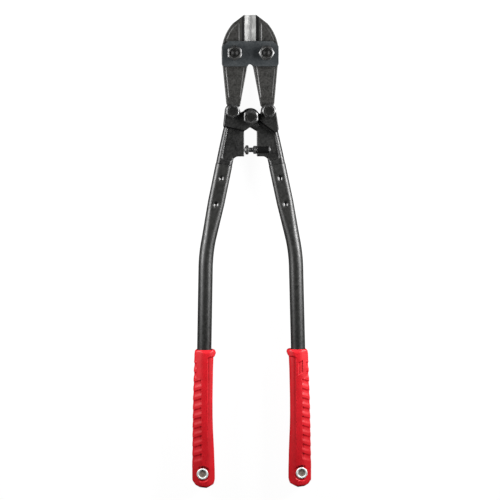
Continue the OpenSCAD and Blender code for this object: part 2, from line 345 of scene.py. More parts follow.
def place(obj, node, materials, crease=None, left=False):
    """Makes obj the looks of a CAD node: finish, side, metres and body.

    Edges sharper than crease degrees stay sharp; without it the mesh's own shading is kept.
    """
    if not isinstance(materials, (list, tuple)):
        materials = [materials]
    which = np.zeros(len(obj.data.polygons), dtype=np.int32)
    obj.data.polygons.foreach_get("material_index", which)
    obj.data.materials.clear()
    for m in materials:
        obj.data.materials.append(m)
    obj.data.polygons.foreach_set("material_index", which)
    if left:
        obj.data.transform(Matrix.Diagonal((-1, 1, 1, 1)))
        obj.data.flip_normals()
    obj.data.transform(Matrix.Scale(MM, 4))
    if crease:
        obj.data.polygons.foreach_set("use_smooth", [True] * len(obj.data.polygons))
        obj.data.set_sharp_from_angle(angle=math.radians(crease))
    obj.name = node + "_finished"
    obj.data.name = obj.name
    body = next(b for b, names in frame["record"]["behaviour"]["bodies"].items() if node in names)
    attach(obj, body)
    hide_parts(node)
    return obj


# ---- Finishes ----

class Finish:
    """A node material in the making: noise(), mix() and the like return sockets to link on."""

    def __init__(self, name):
        self.material = bpy.data.materials.new(name)
        self.material.use_nodes = True
        self.tree = self.material.node_tree
        self.shader = self.tree.nodes["Principled BSDF"]
        self.place = self.add("ShaderNodeTexCoord").outputs["Object"]

    def add(self, kind, **settings):
        node = self.tree.nodes.new(kind)
        for name, value in settings.items():
            setattr(node, name, value)
        return node

    def feed(self, socket, value):
        """Links a socket, or sets a plain value."""
        if isinstance(value, bpy.types.NodeSocket):
            self.tree.links.new(value, socket)
        else:
            socket.default_value = value

    def noise(self, size_mm, detail=3, stretch=(1, 1, 1), rough=0.5):
        """Noise whose features are about size_mm wide, drawn out by stretch."""
        mapping = self.add("ShaderNodeMapping")
        mapping.inputs["Scale"].default_value = [1 / s for s in stretch]
        self.feed(mapping.inputs["Vector"], self.place)
        node = self.add("ShaderNodeTexNoise")
        self.feed(node.inputs["Vector"], mapping.outputs["Vector"])
        node.inputs["Scale"].default_value = 1 / (size_mm * MM)
        node.inputs["Detail"].default_value = detail
        node.inputs["Roughness"].default_value = rough
        return node.outputs["Fac"]

    def ramp(self, value, low, high, to_low=0.0, to_high=1.0):
        """value from low to high, spread to to_low to to_high and clamped."""
        node = self.add("ShaderNodeMapRange")
        for name, v in zip(("Value", "From Min", "From Max", "To Min", "To Max"),
                           (value, low, high, to_low, to_high)):
            self.feed(node.inputs[name], v)
        return node.outputs["Result"]

    def mix(self, share, a, b):
        """Colour a turning to colour b."""
        node = self.add("ShaderNodeMix", data_type="RGBA")
        self.feed(node.inputs["Factor"], share)
        for socket, value in ((node.inputs[6], a), (node.inputs[7], b)):
            self.feed(socket, value if isinstance(value, bpy.types.NodeSocket) else (*value, 1))
        return node.outputs[2]

    def maths(self, operation, a, b):
        node = self.add("ShaderNodeMath", operation=operation)
        self.feed(node.inputs[0], a)
        self.feed(node.inputs[1], b)
        return node.outputs[0]

    def edges(self, start=0.52, end=0.6):
        """1 on sharp outward edges, 0 on flat and inward places."""
        geometry = self.add("ShaderNodeNewGeometry")
        return self.ramp(geometry.outputs["Pointiness"], start, end)

    def bump(self, *layers):
        """Height layers, each (value, depth in millimetres), one on the other."""
        normal = None
        for value, depth in layers:
            node = self.add("ShaderNodeBump")
            node.inputs["Distance"].default_value = depth * MM
            self.feed(node.inputs["Height"], value)
            if normal:
                self.feed(node.inputs["Normal"], normal)
            normal = node.outputs["Normal"]
        self.feed(self.shader.inputs["Normal"], normal)

    def set(self, **values):
        """Sets or links the shader's sockets, words_with_underscores for their names."""
        for name, value in values.items():
            label = name.replace("_", " ").title().replace("Ior", "IOR")
            self.feed(self.shader.inputs[label], value)


def coated(name, dark, light, edge_wear_and_highlight_colour, rough, grain_mm, grain_depth, edge_wear_and_highlight_share=0.5, shine=0.4):
    """Dark coated or forged steel: mottled, grainy, paler on sharp edges, partly wear and partly
    painted highlight, and darkened in inward corners as painted shade.
    """
    f = Finish(name)
    patches = f.noise(14, 4)
    grain = f.noise(grain_mm, 4, rough=0.6)
    tone = f.maths("ADD", f.maths("MULTIPLY", patches, 0.3), f.maths("MULTIPLY", grain, 0.7))
    ground = f.mix(f.ramp(tone, 0.38, 0.62), dark, light)
    # Paler sharp edges in patches: partly wear, partly painted highlight.
    edge_wear_and_highlight = f.maths("MULTIPLY", f.edges(), f.ramp(f.noise(3, 5), 0.35, 0.6))
    edge_wear_and_highlight = f.maths("MULTIPLY", edge_wear_and_highlight, edge_wear_and_highlight_share)
    # Painted shade: inward corners and creases darkened to near black.
    if edge_wear_and_highlight_share:
        ground = f.mix(f.edges(0.48, 0.42), ground, (0.002, 0.002, 0.002))
    f.set(base_color=f.mix(edge_wear_and_highlight, ground, edge_wear_and_highlight_colour), specular_ior_level=shine)
    roughness = f.ramp(f.noise(5, 4), 0.3, 0.7, rough - 0.06, rough + 0.08)
    f.set(roughness=f.maths("SUBTRACT", roughness, f.maths("MULTIPLY", edge_wear_and_highlight, 0.1)))
    f.bump((grain, grain_depth), (patches, grain_depth * 2))
    return f


def forged_steel():
    """Brownish black scale, coarse and dull."""
    f = coated("forged_steel", (0.004, 0.0038, 0.0033), (0.0215, 0.021, 0.0195),
               (0.16, 0.155, 0.145), 0.46, 2.4, 0.22, 0.6, 0.35)
    return f.material


def ground_steel():
    """Bare steel with fine grinding lines across the bevel."""
    f = Finish("ground_steel")
    lines = f.noise(0.8, 3, stretch=(1, 12, 1))
    cloud = f.noise(9, 3)
    f.set(base_color=f.mix(f.ramp(cloud, 0.3, 0.7), (0.073, 0.073, 0.072), (0.118, 0.118, 0.116)))
    f.set(metallic=1.0, roughness=f.ramp(lines, 0.3, 0.7, 0.5, 0.65))
    f.bump((lines, 0.04))
    return f.material


def shoulder_black():
    """The black step behind the ground bevel, which hardly shines."""
    f = coated("shoulder_black", (0.003, 0.003, 0.0033), (0.007, 0.007, 0.007), (0.05, 0.05, 0.05),
               0.6, 1.2, 0.06, 0.3, 0.15)
    return f.material


def strap_steel():
    """Blued plate."""
    f = coated("strap_steel", (0.010, 0.0125, 0.014), (0.018, 0.021, 0.023), (0.12, 0.12, 0.12),
               0.40, 1.3, 0.05, 0.5)
    return f.material


def fastener_black():
    """Oiled black nuts, bright where their corners are turned off; their sharp edges are painted
    paler as painted highlight.
    """
    f = coated("fastener_black", (0.005, 0.005, 0.0055), (0.011, 0.011, 0.011), (0.30, 0.30, 0.29),
               0.31, 1.2, 0.02, 0.4, 0.5)
    return f.material


def bolt_black():
    """Blacker and duller than the nuts; sharp edges such as the rim of a flat end are painted
    paler as painted highlight.
    """
    f = coated("bolt_black", (0.002, 0.002, 0.002), (0.007, 0.007, 0.0065), (0.35, 0.35, 0.34),
               0.5, 1.6, 0.03, 0.3, 0.12)
    return f.material


def arm_black():
    """Black coat on the forged arms."""
    f = coated("arm_black", (0.002, 0.002, 0.002), (0.0135, 0.0135, 0.013), (0.08, 0.08, 0.08),
               0.38, 2.2, 0.11, 0.35)
    return f.material


def turned_black_and_painted_shade():
    """The machined boss of the stop screw, blacker and smoother than its forging; also laid on the
    walls under the arms' ears as painted shade.
    """
    f = coated("turned_black_and_painted_shade", (0.0015, 0.0015, 0.0015), (0.0035, 0.0035, 0.0035),
               (0.06, 0.06, 0.06), 0.3, 1.2, 0.02, 0.2, 0.35)
    return f.material


def tube_paint():
    """Fine-grained black paint."""
    f = coated("tube_paint", (0.003, 0.0032, 0.003), (0.012, 0.012, 0.011), (0.1, 0.1, 0.1),
               0.42, 1.3, 0.09, 0.2, 0.53)
    return f.material


def burnished_paint():
    """The paint where the punch has pressed it smooth."""
    f = coated("burnished_paint", (0.003, 0.0032, 0.003), (0.012, 0.012, 0.011), (0.1, 0.1, 0.1),
               0.2, 1.3, 0.02, 0.2, 0.6)
    return f.material


def grip_red():
    """Moulded red plastic: fine matt grain, darkened in inward corners as painted shade, a little
    paler on rubbed edges.
    """
    f = Finish("grip_red")
    grain = f.noise(0.5, 3)
    patches = f.noise(22, 3)
    body = f.mix(f.ramp(patches, 0.3, 0.7), (0.45, 0.005, 0.010), (0.54, 0.008, 0.015))
    # Painted shade: inward corners, such as the pockets' upper edges, turn deep red.
    body = f.mix(f.maths("MULTIPLY", f.edges(0.494, 0.45), 0.85), body, (0.15, 0.002, 0.004))
    rubbed = f.maths("MULTIPLY", f.edges(0.51, 0.58), 0.5)
    f.set(base_color=f.mix(rubbed, body, (0.70, 0.03, 0.04)))
    f.set(roughness=f.ramp(f.noise(6, 4), 0.3, 0.7, 0.40, 0.50), specular_ior_level=0.3)
    f.bump((grain, 0.04))
    return f.material


def zinc():
    """Pale plating."""
    f = Finish("zinc")
    cloud = f.noise(2.5, 4)
    f.set(base_color=f.mix(cloud, (0.60, 0.66, 0.64), (0.82, 0.88, 0.86)), metallic=0.4)
    f.set(roughness=f.ramp(cloud, 0.3, 0.7, 0.45, 0.6))
    f.bump((f.noise(0.6, 3), 0.02))
    return f.material


def rivet_core():
    """Dull, slightly rusty steel in the middle of a rivet."""
    f = Finish("rivet_core")
    cloud = f.noise(1.6, 5)
    f.set(base_color=f.mix(f.ramp(cloud, 0.35, 0.65), (0.15, 0.11, 0.09), (0.28, 0.23, 0.19)))
    f.set(metallic=0.4, roughness=f.ramp(cloud, 0.3, 0.7, 0.5, 0.65))
    f.bump((cloud, 0.1))
    return f.material


# ---- Fasteners ----

HEX_STEPS = 144


def hexagon(across_flats, turned):
    """Radii round a hexagon with slightly rounded corners, the first corner at turned."""
    off = (np.arange(HEX_STEPS) / HEX_STEPS * 360 - turned) % 60 - 30
    side = across_flats / 2 / np.cos(np.radians(off))
    return smooth_min(side, across_flats / math.sqrt(3) - 0.25, 0.3)


def turned_off(side, face_r, height, way):
    """Profile up to a face at height, on the side way: the corners turned off at 30 degrees."""
    soft, drop = 0.25, (side - face_r) * math.tan(math.radians(30))
    return [(side, height - way * (drop + soft)),
            (side - 0.87 * soft, height - way * (drop - 0.5 * soft)),
            (face_r + 0.87 * soft, height - way * 0.5 * soft), (face_r - soft, height)]


def nut(across_flats, under, height, bore, turned, face_r, sink):
    """Nut standing on the height under, its bore countersunk by sink at the top."""
    top, side = under + height, hexagon(across_flats, turned)
    rings = [(side - 0.25, under), (side, under + 0.25)]
    rings += turned_off(side, face_r, top, 1)
    rings += [(bore + sink, top), (bore, top - 1.4 * sink)]
    rings += [(bore, under + 0.6), (bore + 0.6, under)]
    return even(lathe("nut", rings, HEX_STEPS, True), 50)


def bolt(head_af, under, top, domed):
    """Bolt up Z: dimpled hexagon head on the rest face, shank, and a domed or a flat end."""
    side = hexagon(head_af, 30)
    rings = [(0, 1.0), (3.6, 0.9), (4.5, 0.2), (4.7, 0)]
    rings += turned_off(side, head_af / 2 * 0.76, 0, -1)[::-1]
    rings += [(side, under - 0.25), (side - 0.25, under), (BOLT_R - 1, under), (0, under)]
    head = even(lathe("head", rings, HEX_STEPS), 50)
    end = [(BOLT_R, top - 0.4), (BOLT_R - 0.15, top - 0.1), (BOLT_R - 0.5, top),
           (BOLT_R - 1.1, top), (0, top)]
    if domed:
        rim, drop = 5.3, 3.0
        end = [(BOLT_R, top - drop - 1.6)]
        end += [(r, top - drop * (r / rim) ** 2) for r in np.linspace(rim, 0, 17)]
    shank = lathe("shank", [(0, 2), (BOLT_R, 2)] + end)
    return join(head, shank)


def join(obj, *others):
    """Several closed shells as one mesh."""
    bm = bmesh.new()
    for o in (obj, *others):
        bm.from_mesh(o.data)
    bm.to_mesh(obj.data)
    bm.free()
    for o in others:
        bpy.data.objects.remove(o)
    return obj


def bolt_pair(kind, side, at, under, turned, bolt_finish, nut_finish):
    """The bolt and the nut on one pivot."""
    top = box_mm(f"{kind}_bolt{side}")[1].z
    head_af = 20 if kind == "jaw" else 22
    rod = bolt(head_af, MID_Z - under, top, kind == "strap")
    to_pivot = Matrix.Translation((at.x, at.y, 0))
    place(turn(rod, to_pivot), f"{kind}_bolt{side}", bolt_finish)
    low, high = box_mm(f"{kind}_nut{side}")
    face_r, sink = head_af / 2 - 1.3, 2.1 if kind == "strap" else 0.4
    cap = nut(head_af, low.z, high.z - low.z, HOLE_R, turned, face_r, sink)
    place(turn(cap, to_pivot), f"{kind}_nut{side}", nut_finish)


def fasteners(*finishes):
    """The five bolts and their nuts; corners point along X on the right, along Y elsewhere."""
    strap_out = STRAP_HIGH.z - MID_Z
    for kind, at, out in (("strap", STRAP, strap_out), ("jaw", PIN, FORK_HALF)):
        bolt_pair(kind, "_right", at, out, 0, *finishes)
        bolt_pair(kind, "_left", at * Vector((-1, 1, 1)), out, 30, *finishes)
    bolt_pair("centre", "", CENTRE, FORK_HALF, 30, *finishes)


# ---- Head ----

def strap_outline():
    """Strap plate: chamfered above, rounded below, with a notch in the middle."""
    half, low, high = STRAP_HIGH.x, STRAP_LOW.y, STRAP_HIGH.y
    corner, notch_r = 5, 4.8
    tuck = math.degrees(math.asin(1 / notch_r))
    points = arc((half - corner, low + corner), corner, -90, 0)
    points += [(half, high - 8), (half - 10, high), (10 - half, high), (-half, high - 8)]
    points += arc((corner - half, low + corner), corner, 180, 270)
    return points + arc((0, low - 1), notch_r, 180 - tuck, tuck)


def straps(material):
    """Front and rear plate with their two bolt holes."""
    for node in ("strap_front", "strap_rear"):
        low, high = box_mm(node)
        plate = prism("plate", strap_outline(), low.z, high.z)
        for side in (-1, 1):
            rod = prism("rod", arc((side * STRAP.x, STRAP.y), HOLE_R, 0, 350, 35),
                        low.z - 1, high.z + 1)
            cut(plate, rod)
        place(soften(plate, 0.6), node, material)


def jaw_distance():
    """Forging of the right jaw, before grinding: head, tapered leg and recessed panels."""
    edge, low = 0.15, STRAP_LOW.y
    head_r, rim = 71, 4.3
    opposite = (-STRAP.x, STRAP.y)
    head = common(circle(opposite, head_r), polygon([
        (edge, STRAP.y + 3.5), (edge, TIP_Y), (9.5, TIP_Y), (69.5, TIP_Y - 45.5),
        (69.5, low), (4.6, low + 1)]))
    leg = polygon([
        (edge, STRAP.y + 3.5), (16.7, PIN.y + 8), (PIN.x, PIN.y - 2), (38.2, PIN.y + 11.4),
        (43.5, low - 2.6), (44.4, low + 6), (30, STRAP.y)])
    body = union(head, leg, circle(PIN, PIN_EAR_R))
    head_panel = common(circle(opposite, head_r - rim - 1), polygon([
        (18.5, STRAP.y + 10), (18.5, TIP_Y - 14.5), (57, TIP_Y - 45), (57, STRAP.y + 10)]))
    leg_panel = polygon([
        (10.9, low - 1), (17.1, PIN.y + 22.4), (34.1, PIN.y + 22.4), (38.8, low - 1)])
    holes = union(circle(STRAP, HOLE_R), circle(PIN, HOLE_R))
    panels = recess(union(head_panel, leg_panel), 6.5, 42)

    def distance(x, y, z):
        solid = slab(body, FORGED_HALF, 1.1)(x, y, z)
        solid = smooth_max(solid, panels(x, y, z), 0.8)
        return np.maximum(solid, -holes(x, y))

    return distance


def grind(jaw, materials):
    """Cuts the crisp ground bevel and the black step behind it on both faces."""
    bevel_w, bevel_h, step_w = 8.9, 5.0, 13.4
    profiles = [
        (1, [(-3, -3 * bevel_h / bevel_w), (bevel_w, bevel_h), (bevel_w, 12), (-3, 12)]),
        (2, [(bevel_w - 1, bevel_h - 0.1), (step_w, bevel_h + 0.5), (step_w + 1.2, 8),
             (step_w + 1.2, 12), (bevel_w - 1, 12)])]
    for index, profile in reversed(profiles):
        for face in (1, -1):
            points = [(x, face * z) for x, z in profile][::face]
            cutter = prism("cutter", points, -TIP_Y - 3, -STRAP.y - 3.5)
            turn(cutter, Matrix.Translation((0, 0, MID_Z)) @ Matrix.Rotation(math.pi / 2, 4, "X"))
            for m in materials:
                cutter.data.materials.append(m)
            faces = cutter.data.polygons
            faces.foreach_set("material_index", [index] * len(faces))
            cut(jaw, cutter)


def jaws(materials):
    """Both jaws, in the finishes of the forging, the ground bevel and the step behind it."""
    low, high = box_mm("jaw_right")
    for left in (False, True):
        jaw = mesh_from_distance("jaw", jaw_distance(), low, high, 0.6)
        for m in materials:
            jaw.data.materials.append(m)
        grind(jaw, materials)
        place(jaw, "jaw_left" if left else "jaw_right", materials, 50, left)


# ---- Arms, drawn from the centre bolt ----

SEAM = (42.5, -75.7)
UPPER_TILT, LOWER_TILT = 11.8, 1.23
FLAT_W, FLAT_T, TUBE_D = 27, 16, 23
PIN_C = np.array((PIN.x - CENTRE.x, PIN.y - CENTRE.y))
STOP_Y = -52.5


def polar(radius, angle):
    a = math.radians(angle)
    return np.array((radius * math.cos(a), radius * math.sin(a)))


def seam_end(side):
    """Corner of an arm where it meets its tube."""
    return np.array(SEAM) + side * polar(FLAT_W / 2 - 0.3, UPPER_TILT)


def arm_body(x, y, z, neck=None, top=None):
    """Web of an arm, down to the tube: round rim, panel sunk up to the line top, hollow foot.

    outer and inner are its long sides on their own, drawn on past its ends.
    """
    foot, foot_r = (20.1, -70.6), 7.5
    near, far = seam_end(-1), seam_end(1)
    down_tube = polar(60, UPPER_TILT - 90)
    back = [(51.2, -52.8), (43.9, -20), (40, -8)]
    outline = without(polygon([
        (12, -18), (10.3, -23), (10.3, -63), (foot[0], -63), foot, (foot[0] + foot_r, foot[1]),
        near, far, *back]), circle(foot, foot_r))
    outer = polygon([(-60, 40), (-60, -140), far + down_tube, far, *back, (32, 40)])
    inner = polygon([
        (-60, 40), (-60, -66), (near[0] - 2.6, -66), near, near + down_tube, (90, -140), (90, 40)])
    side, low, floor = beyond((45.6, -65.6), (36.2, -16)), beyond((27, -70.5), (45.6, -65.4)), 5

    def panel(x, y):
        shape = smooth_max(side(x, y), low(x, y), 4)
        return smooth_max(shape, top(x, y), 2) if top else shape

    solid = slab(outline, FORGED_HALF, 0.7)(x, y, z)
    if neck:
        solid = np.minimum(solid, slab(neck, TONGUE_HALF, 0.7)(x, y, z))
        floor = floor + 0.5 * np.maximum(19.2 - np.hypot(x, y), 0)
    for long_side in (outer, inner):
        solid = smooth_max(solid, slab(long_side, FORGED_HALF, 7.4)(x, y, z), 0.4)
    return smooth_max(solid, recess(panel, floor, 60)(x, y, z), 1.0)


def along_tube(x, y):
    """Across and along distances from the seam, the second growing down the upper tube."""
    a = math.radians(UPPER_TILT)
    dx, dy = x - SEAM[0], y - SEAM[1]
    return dx * math.cos(a) + dy * math.sin(a), dx * math.sin(a) - dy * math.cos(a)


def shank(x, y, z):
    """Part of an arm that the tube hides."""
    across, along = along_tube(x, y)
    flat = np.abs(across) - (FLAT_W - FLAT_T) / 2 + 0.6
    round_end = np.hypot(np.maximum(flat, 0), z - MID_Z) - 5.6
    return np.maximum(round_end, np.abs(along - 36) - 40)


def left_arm(x, y, z):
    """Fork both at the jaw and at the centre bolt, before mirroring."""
    hub_r, room_r = 12.8, 17.3
    spread = math.hypot(*PIN_C)
    aim = math.degrees(math.atan2(PIN_C[1], PIN_C[0]))
    low = room_r * polar(1, aim - math.degrees(math.acos((room_r - PIN_ROOM_R) / spread)))
    low_p = PIN_C + low * PIN_ROOM_R / room_r
    ears = union(circle((0, 0), hub_r), circle(PIN_C, PIN_EAR_R), polygon([
        polar(hub_r, 65), polar(hub_r, -125.4), (0, -15.7), (10.3, -22.5), (10.3, -25),
        (42.6, -17.3), (43.3, -14.2), (PIN_C[0] + PIN_EAR_R, PIN_C[1]),
        PIN_C + polar(PIN_EAR_R, 165), (15.9, 7.2)]))
    room = union(circle((0, 0), room_r), circle(PIN_C, PIN_ROOM_R), polygon([
        low, low_p, low_p + (low_p - low) * 2, (90, 70), (-40, 70), (-40, -5)]))
    holes = union(circle((0, 0), HOLE_R), circle(PIN_C, HOLE_R))
    ears = drafted(ears, FORK_HALF, 1.4, beyond((9, -21.6), (42, -14.2)), 0.25)
    solid = smooth_min(ears(x, y, z), arm_body(x, y, z), 0.4)
    solid = np.maximum(solid, -np.maximum(room(x, y), np.abs(z - MID_Z) - GAP_HALF))
    return np.minimum(np.maximum(solid, -holes(x, y)), shank(x, y, z))


def right_arm(x, y, z):
    """Fork at the jaw, tongue at the centre bolt, and the boss of the stop screw."""
    tongue_r, tongue_hole_r, boss_r, boss_hole_r = 14.4, 9.8, 7.4, 4.1
    px, py = PIN_C
    ears = without(union(circle(PIN_C, PIN_EAR_R), polygon([
        (px - PIN_EAR_R, py), (12.6, -8.2), (37.1, -26.4), (39.5, -25), (43.5, -22.8),
        (45, -19.2), (px + PIN_EAR_R, py)])), circle((0, 0), 16))
    ears = drafted(ears, FORK_HALF, 1.4, beyond((14.4, -5.8), (38.9, -24)), 0.35)
    panel_top = beyond((36.5, -27.7), (12, -9.5))
    neck = polygon([polar(tongue_r, -121.1), (10.3, -23), (38, -23), (38, -8), (12, 7)])
    corner = PIN_C + polar(PIN_ROOM_R, -60)
    room = union(circle(PIN_C, PIN_ROOM_R), polygon([
        PIN_C + polar(PIN_ROOM_R, 198), corner, corner + polar(40, 30), (90, 70), (-5, 70)]))
    off_axis, reach = np.hypot(y - STOP_Y, z - MID_Z), np.abs(x - 21.3) - 11.3
    boss = smooth_max(off_axis - boss_r, reach, 0.6)
    boss = smooth_max(boss, (off_axis - boss_r + x - 29.6) * 0.707, 0.6)
    tongue = slab(circle((0, 0), tongue_r), TONGUE_HALF, 0.7)
    solid = smooth_min(ears(x, y, z), arm_body(x, y, z, neck, panel_top), 0.4)
    solid = smooth_min(solid, tongue(x, y, z), 0.4)
    solid = smooth_min(solid, boss, 0.4)
    solid = np.maximum(solid, -np.maximum(room(x, y), np.abs(z - MID_Z) - GAP_HALF))
    holes = union(circle((0, 0), tongue_hole_r), circle(PIN_C, HOLE_R))
    solid = np.maximum(solid, -holes(x, y))
    solid = np.maximum(solid, -np.maximum(off_axis - boss_hole_r, np.abs(x - 20) - 22))
    return np.minimum(solid, shank(x, y, z))


def on_boss(centre):
    """True on the turned boss of the stop screw, which stands out of the forging."""
    x, y, z = centre.x - CENTRE.x, centre.y - CENTRE.y - STOP_Y, centre.z - MID_Z
    return x < 33 and math.hypot(y, z) < 7.6 and abs(z) > 5.1


def painted_shade_wall(face):
    """True on the walls under an arm's ears, which take the blacker finish as painted shade."""
    return face.normal.y < -0.6 and abs(face.center.z - MID_Z) > 7.6


def arms(materials):
    """Both arms, in the finish of the forging and a blacker one: the turned boss of the stop
    screw, and painted shade on the walls under the ears.
    """
    for node, shape, left in (("arm_right", right_arm, False), ("arm_left", left_arm, True)):
        low, high = box_mm("arm_left" if left else "arm_right")
        if left:
            low.x, high.x = -high.x, -low.x
        arm = mesh_from_distance("arm", lambda x, y, z: shape(x - CENTRE.x, y - CENTRE.y, z),
                                 low, high, 0.65)
        faces = arm.data.polygons
        # Walls under the ears take the blacker finish as painted shade; the boss takes it as its
        # own finish.
        black = [painted_shade_wall(p) or (not left and on_boss(p.center)) for p in faces]
        faces.foreach_set("material_index", black)
        place(arm, node, materials, 60, left)


def stop(material):
    """Screw along X with a domed head, and its lock nut against the boss."""
    low, high = box_mm("stop_screw")
    y = CENTRE.y + STOP_Y
    lay = Matrix.Translation((0, y, MID_Z)) @ Matrix.Rotation(math.pi / 2, 4, "Y")
    head_r, neck_r, pitch, depth = 7.4, 3.95, 1.25, 0.45
    face, back = low.x, low.x + 6.7
    profile = [(0, face)]
    profile += [(4.6 * math.sin(a), face + 1.2 - 1.2 * math.cos(a))
                for a in np.linspace(0.2, math.pi / 2, 7)]
    profile += [(5, face + 1.8)]
    profile += [(head_r - 1.4 + 1.4 * math.sin(a), face + 3.2 - 1.4 * math.cos(a))
                for a in np.linspace(0, math.pi / 2, 5)]
    profile += [(head_r, back - 0.8), (head_r - 0.8, back), (0, back)]
    head = lathe("head", profile)
    rows = int((high.x - back + 1) / 0.2)
    turns = np.linspace(0, 2 * math.pi, 48, endpoint=False)
    points = []
    for z in np.linspace(back - 1, high.x, rows):
        wave = np.abs(((z / pitch - turns / (2 * math.pi)) % 1) - 0.5) * 2
        r = neck_r - depth * wave
        points += [(a * math.cos(t), a * math.sin(t), z) for a, t in zip(r, turns)]
    thread = tube_of(points, 48)
    place(turn(join(head, thread), lay), "stop_screw", material)
    low, high = box_mm("stop_lock_nut")
    side = hexagon(13, 0)
    rings = turned_off(side, 5, low.x, -1)[::-1] + turned_off(side, 5, high.x, 1)
    rings += [(4.1, high.x), (4.1, low.x)]
    nut_on_side = turn(even(lathe("lock", rings, HEX_STEPS, True), 50), lay)
    place(nut_on_side, "stop_lock_nut", material)


def tube_of(points, count):
    """Closed skin over rings of count points each."""
    rings = len(points) // count
    faces = []
    for i in range(rings - 1):
        for j in range(count):
            k = (j + 1) % count
            faces.append((i * count + j, i * count + k, (i + 1) * count + k, (i + 1) * count + j))
    mesh = bpy.data.meshes.new("skin")
    ends = [list(range(count))[::-1], list(range((rings - 1) * count, rings * count))]
    mesh.from_pydata(points, [], faces + ends)
    return add_object("skin", mesh)


# ---- Handles ----

FLAT_L, BEND_START, BEND_R, LOWER_L = 62, 121.6, 257, 339
BEND = math.radians(UPPER_TILT - LOWER_TILT)
TUBE_L = BEND_START + BEND_R * BEND + LOWER_L
RIVET_S = TUBE_L - LOWER_L + 330.3
CRIMPS = (22.4, 64.8)
CRIMP_SQUASH = 0.78
CRIMPED_L = FLAT_L + 20


def tube_path(s):
    """Centre of the tube s millimetres from its seam, and its tilt there in radians."""
    turned = min(max((s - BEND_START) / BEND_R, 0), BEND)
    rest = max(s - BEND_START - BEND_R * BEND, 0)
    x = BEND_R * (math.cos(turned) - 1) - rest * math.sin(turned)
    y = -min(s, BEND_START) - BEND_R * math.sin(turned) - rest * math.cos(turned)
    a = math.radians(UPPER_TILT)
    centre = (CENTRE.x + SEAM[0] + x * math.cos(a) - y * math.sin(a),
              CENTRE.y + SEAM[1] + x * math.sin(a) + y * math.cos(a))
    return centre, a - turned


def stadium(half_flat, r, count):
    """Points evenly spaced round two half circles joined by flats, from +X anticlockwise."""
    quarter, flat = math.pi * r / 2, 2 * half_flat
    at = np.arange(count) / count * (4 * quarter + 2 * flat)
    turns = np.piecewise(at, [at < quarter, at >= quarter + flat, at >= 3 * quarter + flat,
                              at >= 3 * quarter + 2 * flat],
                         [lambda a: a / r, lambda a: (a - flat) / r, 1.5 * math.pi,
                          lambda a: (a - 2 * flat) / r, math.pi / 2])
    shift = np.where(np.cos(turns) >= 0, half_flat, -half_flat)
    top = (at >= quarter) & (at < quarter + flat)
    low = (at >= 3 * quarter + flat) & (at < 3 * quarter + 2 * flat)
    shift = np.where(top, half_flat - (at - quarter), shift)
    shift = np.where(low, at - 3 * quarter - flat - half_flat, shift)
    return shift + r * np.cos(turns), r * np.sin(turns)


def crimped(across, s, height):
    """Height of the tube's skin with its four crimps: a round-nosed punch in a shallow dish."""
    dish_r, dish_depth, nose_r, depth = 14.0, 1.1, 3.8, 2.5
    wall = math.radians(50)
    foot = nose_r * math.sin(wall)
    level = np.abs(height)
    for at in CRIMPS:
        away = np.hypot(across, s - at)
        dish = dish_r - dish_depth - np.sqrt(np.maximum(dish_r ** 2 - away ** 2, 1))
        away = np.hypot(across, (s - at) * CRIMP_SQUASH)
        nose = nose_r - np.sqrt(nose_r ** 2 - np.minimum(away, foot) ** 2)
        nose = nose + np.maximum(away - foot, 0) * math.tan(wall) - depth
        pressed = FLAT_T / 2 + smooth_min(dish, nose, 0.3)
        level = np.where(level > 3, smooth_min(level, pressed, 0.6), level)
    return np.sign(height) * level


def tube_rings(stations, inset, count):
    """Points of the tube's skin, or of its bore when inset is the wall, ring after ring."""
    rings = []
    for s in stations:
        blend = min(max((s - FLAT_L) / (BEND_START - FLAT_L), 0), 1)
        half_flat = (FLAT_W - FLAT_T) / 2 * (1 - blend)
        r = FLAT_T / 2 + (TUBE_D - FLAT_T) / 2 * blend - inset
        across, height = stadium(half_flat, r, count)
        if s < CRIMPED_L:
            height = crimped(across, s, height + np.sign(height) * inset)
            height = height - np.sign(height) * inset
        (cx, cy), tilt = tube_path(s)
        rings += [(cx + u * math.cos(tilt), cy + u * math.sin(tilt), MID_Z + h)
                  for u, h in zip(across, height)]
    return rings


def in_crimp(centre):
    """True where the punch has burnished a crimp."""
    across, s = along_tube(centre.x - CENTRE.x, centre.y - CENTRE.y)
    return min(math.hypot(across, CRIMP_SQUASH * (s - at)) for at in CRIMPS) < 3.2


def tubes(materials):
    """Both tubes, in the finishes of the paint and of the burnished crimps."""
    wall, count, round_off = 2, 144, 0.5
    fine = np.arange(1.0, CRIMPED_L, 0.6)
    rest = np.linspace(fine[-1] + 1, TUBE_L, 110)
    stations = [round_off, *fine, *rest]
    for node, left in (("tube_right", False), ("tube_left", True)):
        points = tube_rings([0.0], round_off, count) + tube_rings(stations, 0, count)
        points += tube_rings(stations[::-1] + [0.0], wall, count)
        rings = len(points) // count
        index = np.arange(rings * count).reshape(rings, count)
        a, b = index, np.roll(index, -1, axis=0)
        quads = np.stack([a, b, np.roll(b, -1, axis=1), np.roll(a, -1, axis=1)], axis=-1)
        obj = quad_mesh("tube", points, quads.reshape(-1, 4))
        faces = obj.data.polygons
        faces.foreach_set("material_index", [in_crimp(p.center) for p in faces])
        place(obj, node, materials, 50, left)


